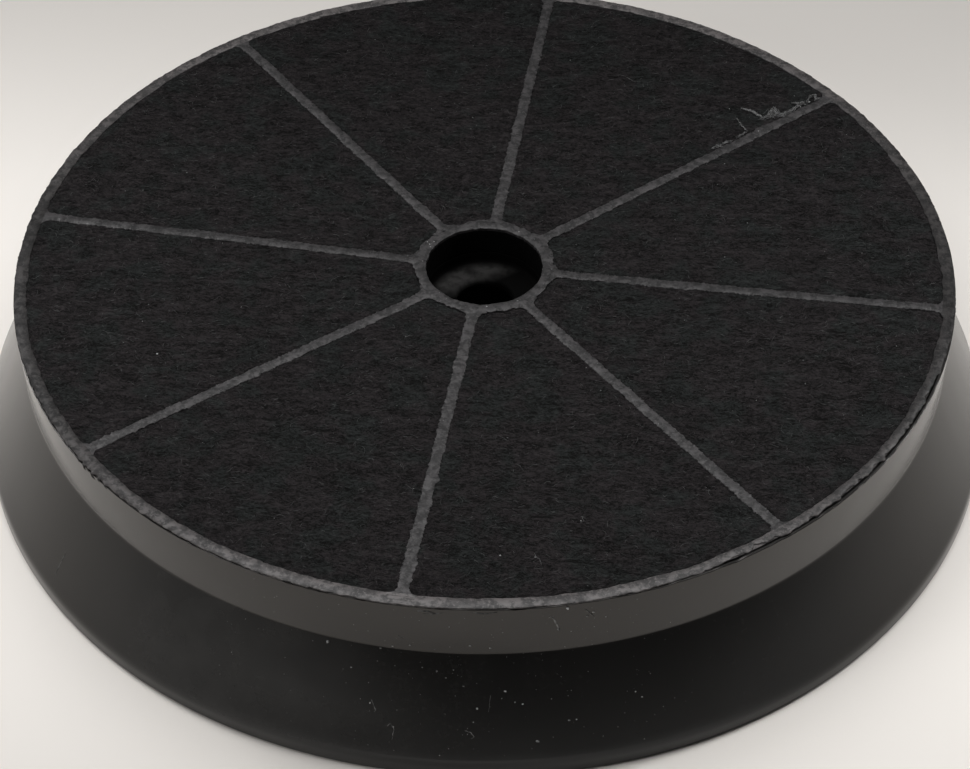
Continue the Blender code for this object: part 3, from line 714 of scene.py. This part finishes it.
def lattice_windows(material):
    inner = HUB_RADIUS + LATTICE_EDGE
    outer = chamber_radius(FLOOR_RAISE) - LATTICE_EDGE
    depth = (outer - inner + LATTICE_BAR) / len(LATTICE_COUNTS) - LATTICE_BAR
    stacks = []
    for ring, count in enumerate(LATTICE_COUNTS):
        start = inner + ring * (depth + LATTICE_BAR)
        sector = math.tau / count
        levels = [
            (window_outline(start, start + depth, sector, grow), FLOOR_RAISE + rise)
            for rise, grow in WINDOW_LEVELS
        ]
        stacks += [[placed(*level, index * sector) for level in levels] for index in range(count)]
    return blocks("lattice_windows", stacks, material)


def radial_rib(section, angle):
    turn = Matrix.Rotation(angle, 2)
    sides = (-RIB_THICKNESS / 2, RIB_THICKNESS / 2)
    return [[(*(turn @ Vector((radius, side))), height) for radius, height in section] for side in sides]


def sector_block(low, high, start, span):
    """Outlines of a block on the inside of the hub's wall, over a span of turn."""
    turns = [start + span * step / 10 for step in range(11)]
    outline = [facing(t) * HUB_WALL_MIDDLE for t in turns] + [facing(t) * LUG_INNER for t in reversed(turns)]
    return [placed(outline, height, 0) for height in (low, high)]


def make_housing(material):
    """Fine housing: the turned shell with a slight wave, lattice, gussets, webs, hub and bayonet lugs."""
    wave = wander(SHELL_SEGMENTS, SHELL_WAVES, 11)
    ragged = np.minimum(wander(SHELL_SEGMENTS, LIP_WAVES, 12), 0.00012)

    def wobble(turn, radius, height):
        outside = (radius > CREASE_RADIUS - 0.0002) & (height > 0.0008)
        radius = radius + np.where(outside, wave[:, None], 0)
        lip = height > LIP_TOP - 0.00035
        sag = np.clip(1 - degrees_from(turn, SAG_TURN) / SAG_SPAN, 0, 1) * SAG_DEPTH
        return radius, height + np.where(lip, ragged[:, None] - sag, 0)

    housing = turned_piece("housing_body", shell_section(), SHELL_SEGMENTS, material, wobble)
    combine(housing, turned_piece("hub", hub_section(), 128, material))
    combine(housing, lattice_windows(material), "DIFFERENCE")
    root = gap_top()
    gusset = [
        (chamber_outside(GUSSET_FOOT) - CHAMBER_WALL / 2, GUSSET_FOOT),
        (skirt_inside(GUSSET_FOOT) + SKIRT_WALL / 2, GUSSET_FOOT),
        (chamber_outside(root), root + SKIRT_WALL / 2),
    ]
    step = math.tau / GUSSET_COUNT
    ribs = [radial_rib(gusset, (i + 0.5) * step) for i in range(GUSSET_COUNT)]
    middle = (FLOOR_RAISE + FLOOR_TOP) / 2
    web = [(HUB_WALL_MIDDLE, WEB_FOOT), (HUB_RADIUS + WEB_REACH, middle), (HUB_WALL_MIDDLE, middle)]
    webs = [radial_rib(web, i * SECTOR) for i in range(SPOKE_COUNT)]
    thirds = [i * math.tau / 3 for i in range(3)]
    lugs = [sector_block(LUG_FOOT, LUG_TOP, turn, LUG_SPAN) for turn in thirds]
    stop_foot = (LUG_FOOT + LUG_TOP) / 2
    stops = [sector_block(stop_foot, STOP_TOP, STOP_START + turn, STOP_SPAN) for turn in thirds]
    for name, stacks in (("gussets", ribs), ("webs", webs), ("lugs", lugs), ("stops", stops)):
        combine(housing, blocks(name, stacks, material))
    smooth(housing.data, 38)
    return housing


# Cover


def bar_profile(left, right, top, foot=None):
    """Section of a raised bar from one foot over its rounded top to the other, for each station.

    left and right are its edges on either side of the middle line, and top its height. With a foot
    of its own, the right side ends in a thin flange that reaches out over that foot.
    """
    base = np.full_like(top, COVER_UNDERSIDE)
    points = [(left, base)] + [(left + inset, top - drop) for inset, drop in SHOULDER]
    points.append(((left + right) / 2, top + BAR_CROWN))
    points += [(right - inset, top - drop) for inset, drop in reversed(SHOULDER)]
    if foot:
        right = np.full_like(top, foot)
        points.append((right, top - FLANGE_THICKNESS))
    points.append((right, base))
    return np.array(points).transpose(1, 2, 0)


def spoke_rings(index):
    """Rings of one spoke from hub ring to rim ring, wider at both ends, with ragged edges."""
    count = SPOKE_STATIONS
    along = np.linspace(HUB_RADIUS - SPOKE_INTO_RING, RIM_RING_RADIUS + SPOKE_INTO_RING, count)
    edges = []
    for side in (0, 1):
        ragged = np.maximum(wander(count, SPOKE_WAVES, 100 + 2 * index + side, False), -0.00014)
        widen = np.zeros(count)
        for reach in (along - HUB_RADIUS, RIM_RING_RADIUS - along):
            left_over = np.clip(SPOKE_FILLET - reach, 0, SPOKE_FILLET)
            widen += SPOKE_FILLET - np.sqrt(SPOKE_FILLET**2 - left_over**2)
        for spoke, flank, place, length, reach in SPOKE_LUMPS:
            if (spoke, flank) == (index, side):
                ragged = ragged + reach / 1000 * np.exp(-((along * 1000 - place) / length) ** 2)
        edges.append(SPOKE_WIDTH / 2 + widen + ragged)
    near_hub = np.clip(1 - (along - HUB_RADIUS) / SPOKE_RISE_LENGTH, 0, 1)
    lumps = wander(count, LUMP_WAVES, 140 + index, False) + SPOKE_RISE * near_hub**2
    across, height = bar_profile(-edges[0], edges[1], COVER_TOP + lumps)
    x, y = math.cos(index * SECTOR), math.sin(index * SECTOR)
    flat = along[:, None, None] * (x, y) + across[:, :, None] * (-y, x)
    height = height - cover_sink(along)[:, None]
    return np.concatenate([flat, height[:, :, None]], 2)


def ring_rings(inner, outer, top, count, seed, rough_inner, rough_outer, foot=None):
    """Rings of a flat ring round the axis with ragged edges."""
    turn = np.arange(count) * math.tau / count
    low = inner + wander(count, rough_inner, seed)
    high = outer + wander(count, rough_outer, seed + 1)
    if foot:
        for place, length, reach in BURRS:
            high += reach / 1000 * np.exp(-((degrees_from(turn, place) / length) ** 2))
        bare = np.clip((BARE_SPAN - degrees_from(turn, BARE_TURN)) / BARE_RAMP, 0, 1)
        high += bare * (wander(count, BARE_WAVES, seed + 3) - BARE_DEPTH)
    lumps = wander(count, [(count // 12, 0.04), (count // 4, 0.04)], seed + 2)
    radius, height = bar_profile(low, high, COVER_TOP + lumps, foot)
    return about_axis(turn[:, None], radius, height + top - COVER_TOP)


def make_cover(material):
    """Fine cover: rim ring, spokes and hub ring with ragged edges where the plastic ran into the felt."""
    waves = RIM_INNER_WAVES, RIM_OUTER_WAVES
    rim = ring_rings(RIM_RING_RADIUS, FLANGE_RADIUS, COVER_TOP, RIM_STATIONS, 200, *waves, COVER_RADIUS)
    cover = mesh_piece("cover_lattice", *skin(rim, True), material)
    waves = HUB_INNER_WAVES, HUB_OUTER_WAVES
    hub = ring_rings(HUB_BORE, HUB_RADIUS, HUB_RING_TOP, HUB_STATIONS, 210, *waves)
    spokes = blocks("spokes", [spoke_rings(i) for i in range(SPOKE_COUNT)], material)
    combine(cover, spokes)
    combine(cover, mesh_piece("hub_ring", *skin(hub, True), material))
    collar = rounded([
        (COLLAR_RADIUS, HUB_RING_TOP - 0.0015, 0), (COLLAR_RADIUS, COLLAR_FOOT, 0.0002),
        (HUB_BORE, COLLAR_FOOT, 0.0002), (HUB_BORE, HUB_RING_TOP - 0.0015, 0),
    ])
    combine(cover, turned_piece("collar", collar, 128, material))
    smooth(cover.data, 50)
    return cover


# Felt


def random_field(waves, seed):
    """Square field of random heights over the whole face, a sum of (wavelength, height in mm) parts."""
    rng = np.random.default_rng(seed)
    count = int(2 * FIELD_HALF / FIELD_PITCH)
    steps = np.fft.fftfreq(count, FIELD_PITCH)
    distance = np.hypot(steps[:, None], steps[None, :])
    total = np.zeros((count, count))
    for wavelength, height in waves:
        spectrum = np.fft.fft2(rng.normal(size=(count, count)))
        band = np.exp(-((distance * wavelength / 1000 - 1) ** 2) * 3)
        part = np.real(np.fft.ifft2(spectrum * band))
        total += part / part.std() * height / 1000
    return total


def sample(field, x, y):
    """Heights of a field at points, blended between its four nearest values."""
    column, row = (np.clip((at + FIELD_HALF) / FIELD_PITCH, 0, len(field) - 2.001) for at in (x, y))
    i, j = column.astype(int), row.astype(int)
    u, v = column - i, row - j
    near = field[i, j] * (1 - u) + field[i + 1, j] * u
    far = field[i, j + 1] * (1 - u) + field[i + 1, j + 1] * u
    return near * (1 - v) + far * v


def window_depth(x, y):
    """How far points lie inside their window of the cover, with the corners eased."""
    radius = np.hypot(x, y)
    turn = np.arctan2(y, x) % SECTOR
    sides = [radius * np.sin(angle) - SPOKE_WIDTH / 2 for angle in (turn, SECTOR - turn)]
    sides += [radius - HUB_RADIUS, RIM_RING_RADIUS - radius]
    ease = 0.0007
    return -ease * np.log(sum(np.exp(-np.clip(side, -0.002, 0.05) / ease) for side in sides))


def felt_height(x, y, field):
    """Height of the felt between the spokes: puffed, tucked down at the bars and uneven all over."""
    depth = window_depth(x, y)
    tuck = np.clip((depth + 0.0001) / 0.0008, 0, 1)
    rise = 1 - (1 - tuck) ** 3
    puffed = FELT_LOW + (FELT_TOP - FELT_LOW) * rise + sample(field, x, y) * np.clip(depth / 0.001, 0, 1)
    return puffed - cover_sink(np.hypot(x, y))


def felt_pad(index, field):
    """One pad of felt, gridded between two spokes, closed underneath."""
    across, out = 96, 118
    ease = np.linspace(0, 1, across)
    ease = ease + 0.35 * (ease * ease * (3 - 2 * ease) - ease)
    radius = np.linspace(HUB_RADIUS - FELT_OVERLAP, RIM_RING_RADIUS + FELT_OVERLAP, out)
    edge = np.arcsin((SPOKE_WIDTH / 2 - FELT_OVERLAP) / radius)
    turn = index * SECTOR + edge[:, None] + (SECTOR - 2 * edge)[:, None] * ease[None, :]
    x, y = radius[:, None] * np.cos(turn), radius[:, None] * np.sin(turn)
    top = np.stack([x, y, felt_height(x, y, field)], 2).reshape(-1, 3)
    grid = np.arange(out * across).reshape(out, across)
    border = np.concatenate([grid[0], grid[1:, -1], grid[-1, -2::-1], grid[-2:0:-1, 0]]).tolist()
    foot = top[border]
    foot[:, 2] = FELT_BASE + 0.0004 - cover_sink(np.hypot(foot[:, 0], foot[:, 1]))
    quads = np.stack([grid[:-1, :-1], grid[:-1, 1:], grid[1:, 1:], grid[1:, :-1]], 2)
    faces = quads.reshape(-1, 4).tolist()
    below = list(range(len(top), len(top) + len(border)))
    faces += zip(border[1:] + border[:1], border, below, below[1:] + below[:1])
    return np.concatenate([top, foot]), faces + [below]


def make_cover_felt(material, field):
    """Felt under the cover, with a pad between each two spokes."""
    felt = mesh_piece("outlet_felt", *joined(felt_pad(i, field) for i in range(SPOKE_COUNT)), material)
    inner = HUB_RADIUS + 0.0003
    disc = np.array([
        (FELT_RADIUS, SEAT_HEIGHT - 0.0002), (FELT_RADIUS - 0.0002, FELT_BASE),
        (inner, FELT_BASE - cover_sink(inner)), (inner, SEAT_HEIGHT - 0.0002 - cover_sink(inner)),
    ])
    combine(felt, turned_piece("felt_base", disc, 192, material))
    smooth(felt.data, 60)
    return felt


def hairs(name, lines, widths, material, sides=4):
    """Closed thin tubes as one object, pointed at both ends, along lines with equal counts of points."""
    lines = np.array(lines)
    along = np.gradient(lines, axis=1)
    along /= np.linalg.norm(along, axis=2, keepdims=True) + 1e-12
    aside = np.cross(along, (0.13, 0.07, 0.99))
    aside /= np.linalg.norm(aside, axis=2, keepdims=True) + 1e-12
    above = np.cross(aside, along)
    taper = np.sin(np.linspace(0.15, math.pi - 0.15, lines.shape[1])) ** 0.5
    reach = np.array(widths)[:, None, None] / 2 * taper[None, :, None]
    turns = [math.tau * side / sides for side in range(sides)]
    rings = [lines + reach * (aside * math.cos(turn) + above * math.sin(turn)) for turn in turns]
    return mesh_piece(name, *joined(skin(tube, False) for tube in np.stack(rings, 2)), material)


def on_face(rng, count=None):
    """Random places between the hub ring and the rim ring."""
    radius = np.sqrt(rng.uniform(HUB_RADIUS**2, RIM_RING_RADIUS**2, count))
    turn = rng.uniform(0, math.tau, count)
    return radius * np.cos(turn), radius * np.sin(turn)


def face_fibres(material, field):
    """Fibres on the felt in the windows of the cover, bent a little and pressed into it."""
    rng = np.random.default_rng(41)
    x, y = on_face(rng, FIBRE_COUNT * 2)
    keep = window_depth(x, y) > 0.0009
    x, y = x[keep][:FIBRE_COUNT], y[keep][:FIBRE_COUNT]
    number = len(x)
    along_grain = rng.random(number) < 0.5
    heading = np.where(along_grain, rng.normal(0.16, 0.45, number), rng.uniform(0, math.pi, number))
    length = rng.uniform(*FIBRE_LENGTHS, number)
    bend = rng.normal(0, 1.4, number)
    stations = 5
    at = np.linspace(-0.5, 0.5, stations)
    direction = heading[:, None] + bend[:, None] * at[None, :]
    step = length[:, None] / (stations - 1)
    line_x = np.cumsum(np.cos(direction) * step, 1)
    line_y = np.cumsum(np.sin(direction) * step, 1)
    line_x += (x - line_x.mean(1))[:, None]
    line_y += (y - line_y.mean(1))[:, None]
    inside = window_depth(line_x, line_y).min(1) > 0.0003
    line_x, line_y = line_x[inside], line_y[inside]
    arch = rng.uniform(*FIBRE_LIFT, len(line_x))[:, None] * (1 - (2 * at[None, :]) ** 2) - 0.00003
    height = felt_height(line_x, line_y, field) + arch
    widths = rng.uniform(0.7, 1.3, len(line_x)) * FIBRE_WIDTH
    return hairs("felt_fibres", np.stack([line_x, line_y, height], 2), widths, material, 3)


def resampled(points, count):
    """A line through points, with count stations spread evenly over its legs."""
    at = np.linspace(0, len(points) - 1, count)
    return np.stack([np.interp(at, range(len(points)), part) for part in np.transpose(points)], 1)


def make_lint(material, field):
    """Tuft of lint beside the spoke at the far right, with its loose ends, and three loose fibres."""
    lines, widths = [], []
    seed = 300
    for points, copies, spread, width in LINT_STRANDS:
        rng = np.random.default_rng(seed)
        for copy in range(copies + copies // 2):
            shift = rng.normal(0, spread, 3) * (1.3, 1.3, 0.8)
            line = resampled(points + shift, 28) / 1000
            sway = TUFT_SWAY if copies > 1 else LOOSE_SWAY
            line += np.random.default_rng(seed + 1 + copy).normal(0, sway, line.shape)
            line[:, 2] = np.maximum(line[:, 2], 0.00003) + felt_height(line[:, 0], line[:, 1], field)
            lines.append(line)
            widths.append(width / 1000 * rng.uniform(0.6, 1.5))
        seed += 50
    return hairs("lint", lines, widths, material)


def speck(centre, size, rng):
    """Small crooked grain of dust."""
    build = bmesh.new()
    bmesh.ops.create_icosphere(build, subdivisions=1, radius=0.5)
    stretch = size * rng.uniform(0.9, 1.7, 3) * (1, 1, 0.6)
    points = [np.array(v.co) * stretch * rng.uniform(0.7, 1.3) + centre for v in build.verts]
    faces = [tuple(v.index for v in f.verts) for f in build.faces]
    build.free()
    return points, faces


def outside_place(turn, height):
    """Points on the outside of the wall or the skirt, from turns in degrees and heights in millimetres."""
    height = height / 1000
    levels = (FOOT_LIP_HEIGHT, CREASE_HEIGHT, LIP_TOP)
    radius = np.interp(height, levels, (FOOT_RADIUS, CREASE_RADIUS, FACE_RADIUS))
    return about_axis(np.radians(turn), radius, height)


def make_dust(material, field):
    """Specks of dust where the photograph shows them, and finer ones scattered round them."""
    rng = np.random.default_rng(71)
    grains = []
    for turn, height, size in SKIRT_DUST:
        grains.append((outside_place(turn, height), 1.3 * size / 100000))
    for _ in range(SKIRT_DUST_COUNT):
        turn = rng.uniform(-112, -58)
        height = rng.choice([rng.uniform(5, 24), rng.uniform(23, 35)])
        grains.append((outside_place(turn, height), rng.uniform(*FINE_DUST)))
    places = [(x / 1000, y / 1000, size / 100000) for x, y, size in FACE_DUST]
    for _ in range(FACE_DUST_COUNT):
        places.append((*on_face(rng), rng.uniform(*FINE_DUST)))
    for x, y, size in places:
        radius = math.hypot(x, y)
        rest = COVER_TOP - cover_sink(radius) + (HUB_RING_RISE if radius < HUB_RADIUS else 0.00002)
        if window_depth(x, y) > 0.0002:
            rest = felt_height(x, y, field)
        grains.append((np.array([x, y, rest]), size))
    return mesh_piece("dust", *joined(speck(centre, size, rng) for centre, size in grains), material)


def make_marks(name, marks, material):
    """Thin crooked lines that lie on the outside of the housing."""
    lines, widths = [], []
    for number, (points, width, copies) in enumerate(marks):
        rng = np.random.default_rng(500 + number)
        for copy in range(copies):
            turns, heights = resampled(points, 16).T
            turns = turns + rng.normal(0, 0.02, 16) + rng.normal(0, 0.12) * copy
            heights = heights + rng.normal(0, 0.03, 16)
            lines.append(outside_place(turns, heights) * (1.0003, 1.0003, 1))
            widths.append(width / 1000 * rng.uniform(0.7, 1.3))
    return hairs(name, lines, widths, material)


def make_inlet_felt(material):
    """Felt on the lattice floor, pressed a little into its windows."""
    field = random_field(MAT_WAVES, 31)
    outer, inner = inlet_high.x - 0.0001, HUB_RADIUS + 0.0004
    count = 40
    low = np.stack([np.linspace(outer, inner, count), np.full(count, inlet_low.z)], 1)
    section = np.concatenate([[(outer, inlet_high.z)], low, [(inner, inlet_high.z)]])

    def wobble(turn, radius, height):
        under = height < inlet_low.z + 0.0001
        x, y = radius * np.cos(turn), radius * np.sin(turn)
        return radius, height + np.where(under, 0.00012 + np.clip(sample(field, x, y), -0.0001, 0.0003), 0)

    return turned_piece("inlet_mat", section, 256, material, wobble, 50)


# Light, floor and camera


def area_light(name, place, target, size, power, spread):
    lamp = bpy.data.lights.new(name, "AREA")
    lamp.shape = "RECTANGLE"
    lamp.size, lamp.size_y = size
    lamp.energy = power
    lamp.spread = math.radians(spread)
    light = add_object(name, lamp)
    light.location = place
    light.rotation_euler = (Vector(target) - Vector(place)).to_track_quat("-Z", "Y").to_euler()
    light.visible_camera = False


def make_stage():
    """Pale floor, soft light from above and from both sides, and a dim room."""
    rim = [facing(math.tau * step / FLOOR_SIDES) * FLOOR_RADIUS for step in range(FLOOR_SIDES)]
    floor = mesh_piece("floor", placed(rim, 0, 0), [range(FLOOR_SIDES)], floor_material())
    floor.location = (0, FLOOR_SHIFT, 0)
    for lamp in LAMPS:
        area_light(*lamp)
    n = Nodes("room", bpy.data.worlds)
    bpy.context.scene.world = n.owner
    where = n.add("TexCoord").outputs["Generated"]
    turned = n.add("VectorRotate", {"Vector": where, "Angle": ROOM_TURN}, rotation_type="Z_AXIS").outputs[0]
    back = n.add("SeparateXYZ", {0: turned}).outputs["Y"]
    ends = {"Value": back, "From Min": -0.25, "From Max": 0.65, "To Min": 0.02, "To Max": 0.36}
    glow = n.add("MapRange", ends, interpolation_type="SMOOTHSTEP").outputs[0]
    seen = n.add("LightPath").outputs["Is Camera Ray"]
    n.fill(n.tree.nodes["Background"], {"Color": n.add("Mix", {0: seen, 2: glow, 3: BACKDROP}).outputs[0]})
    bpy.context.scene.view_settings.view_transform = "Standard"


def make_camera():
    """Camera of the photograph: swung round the middle of the face, then tilted and rolled a little."""
    lens = bpy.data.cameras.new("camera")
    lens.lens = CAMERA_LENS
    lens.sensor_width = SENSOR_WIDTH
    lens.clip_start = CAMERA_CLIP
    swing = Matrix.Rotation(CAMERA_AZIMUTH + math.pi / 2, 4, "Z")
    swing = swing @ Matrix.Rotation(math.pi / 2 - CAMERA_ELEVATION, 4, "X")
    lean = Matrix.Rotation(CAMERA_TILT, 4, "X") @ Matrix.Rotation(CAMERA_ROLL, 4, "Z")
    aim, reach = Matrix.Translation((0, 0, AIM_HEIGHT)), Matrix.Translation((0, 0, CAMERA_DISTANCE))
    camera = add_object("camera", lens)
    camera.matrix_world = aim @ swing @ reach @ lean
    bpy.context.scene.camera = camera


def dress(piece, slot, *nodes):
    """The piece rides on the one body and stands for CAD nodes, which it hides. The slot argument is not
    used.
    """
    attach(piece, "root")
    if nodes:
        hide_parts(*nodes)
    return piece


make_camera()
make_stage()
plastic = housing_plastic()
felt = felt_fibre()
face_field = random_field(FACE_WAVES, 21)
dress(make_housing(plastic), "housing_plastic", "housing")
dress(make_cover(cover_plastic()), "cover_plastic", "cover_grille")
top_felt = dress(make_cover_felt(felt, face_field), "cover_felt", "cover_felt")
dress(face_fibres(loose_fibre("grey_fibre", 0.060), face_field), "cover_felt")
dress(make_lint(loose_fibre("lint_fibre", 0.19), face_field), "cover_felt")
dress(make_dust(loose_fibre("dust_grain", 0.34), face_field), "cover_felt")
dress(make_marks("pale_marks", PALE_MARKS, loose_fibre("pale_mark", 0.24)), "housing_plastic")
dress(make_marks("faint_marks", FAINT_MARKS, loose_fibre("faint_mark", 0.13)), "housing_plastic")
dress(make_marks("flash_burrs", DARK_BURRS, loose_fibre("flash", 0.006)), "cover_plastic")
mat = dress(make_inlet_felt(felt), "inlet_felt", "inlet_felt")
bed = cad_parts["carbon_bed"]
bed.data.materials.clear()
bed.data.materials.append(charcoal())
